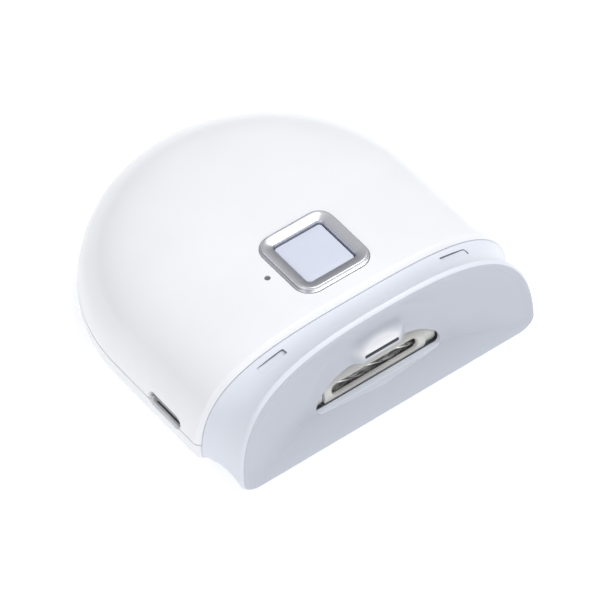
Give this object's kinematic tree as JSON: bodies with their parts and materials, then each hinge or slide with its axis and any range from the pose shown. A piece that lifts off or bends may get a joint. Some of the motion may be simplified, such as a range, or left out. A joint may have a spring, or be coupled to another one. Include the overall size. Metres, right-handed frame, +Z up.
{
  "type": "electric nail trimmer",
  "caption": "Palm-sized rechargeable nail trimmer: D-shaped body with a square button, pull-off finger scoop and a powered cutter drum behind a narrow window.",
  "frame": {"origin": "middle of the footprint's box, on the plane the feet stand on", "axes": "+X across the body, +Y towards the round back, +Z up; the finger scoop faces -Y"},
  "size_m": [0.077, 0.077, 0.0277],
  "materials": {
    "white_gloss_plastic": "gloss",
    "lavender_satin_plastic": "satin",
    "warm_grey_plastic": "satin",
    "pale_frame_plastic": "matt",
    "satin_chrome": "satin",
    "button_plastic": "satin",
    "steel": "satin",
    "cutter_steel": "satin",
    "gear_acetal": "satin",
    "circuit_board": "satin",
    "black_plastic": "satin",
    "diffuser_plastic": "gloss",
    "cell_wrap": "gloss",
    "grey_foam": "matt",
    "grey_rubber": "matt",
    "magnet_nickel": "gloss"
  },
  "bodies": {
    "housing": {"top_shell": "white_gloss_plastic", "bottom_shell": "white_gloss_plastic", "cutter_guard": "warm_grey_plastic", "drive_frame": "pale_frame_plastic", "gear_cover": "pale_frame_plastic", "button_bezel": "satin_chrome", "bearing_left": "steel", "bearing_right": "steel", "idler_pin": "steel", "motor_can": "steel", "motor_clamp": "steel", "charging_port_shell": "steel", "shell_screw_1": "steel", "shell_screw_2": "steel", "shell_screw_3": "steel", "shell_screw_4": "steel", "board_screw_1": "steel", "board_screw_2": "steel", "board_screw_3": "steel", "board_screw_4": "steel", "cover_screw_1": "steel", "cover_screw_2": "steel", "cover_screw_3": "steel", "guard_screw_1": "steel", "guard_screw_2": "steel", "main_board": "circuit_board", "charging_board": "circuit_board", "work_light_board": "circuit_board", "tact_switch": "black_plastic", "control_chip": "black_plastic", "charging_chip": "black_plastic", "charging_port_tongue": "black_plastic", "motor_end_cap": "black_plastic", "indicator_light_pipe": "diffuser_plastic", "status_led": "diffuser_plastic", "work_light_led": "diffuser_plastic", "battery_cell": "cell_wrap", "battery_foam_pad": "grey_foam", "foot_1": "grey_rubber", "foot_2": "grey_rubber", "foot_3": "grey_rubber", "foot_4": "grey_rubber", "battery_tab_left": "magnet_nickel", "battery_tab_right": "magnet_nickel", "frame_magnet_left": "magnet_nickel", "frame_magnet_right": "magnet_nickel"},
    "cap": {"front_cap": "lavender_satin_plastic", "cap_magnet_left": "magnet_nickel", "cap_magnet_right": "magnet_nickel", "work_light_lens": "diffuser_plastic"},
    "button": {"power_button": "button_plastic", "switch_plunger": "black_plastic"},
    "cutter": {"cutter_drum": "cutter_steel", "cutter_shaft": "steel", "cutter_gear": "gear_acetal"},
    "idler": {"idler_gear": "gear_acetal"},
    "rotor": {"motor_pinion": "steel", "motor_shaft": "steel"}
  },
  "joints": [
    {"name": "cap_slide", "type": "slide", "parent": "housing", "child": "cap", "axis": [0, -1, 0], "range_m": [0, 0.03]},
    {"name": "button_press", "type": "slide", "parent": "housing", "child": "button", "axis": [0, 0, -1], "range_m": [0, 0.0005], "stiffness_N_per_m": 1200},
    {"name": "cutter_spin", "type": "hinge", "parent": "housing", "child": "cutter", "pos_m": [0, -0.0286, 0.0072], "axis": [1, 0, 0], "continuous": true},
    {"name": "idler_spin", "type": "hinge", "parent": "housing", "child": "idler", "pos_m": [0, -0.0183, 0.0116], "axis": [1, 0, 0], "continuous": true},
    {"name": "rotor_spin", "type": "hinge", "parent": "housing", "child": "rotor", "pos_m": [0, -0.00752, 0.0104], "axis": [1, 0, 0], "continuous": true}
  ],
  "couplings": [
    {"joint": "idler_spin", "follows": "cutter_spin", "ratio": -0.45455},
    {"joint": "rotor_spin", "follows": "cutter_spin", "ratio": 1.1111}
  ]
}
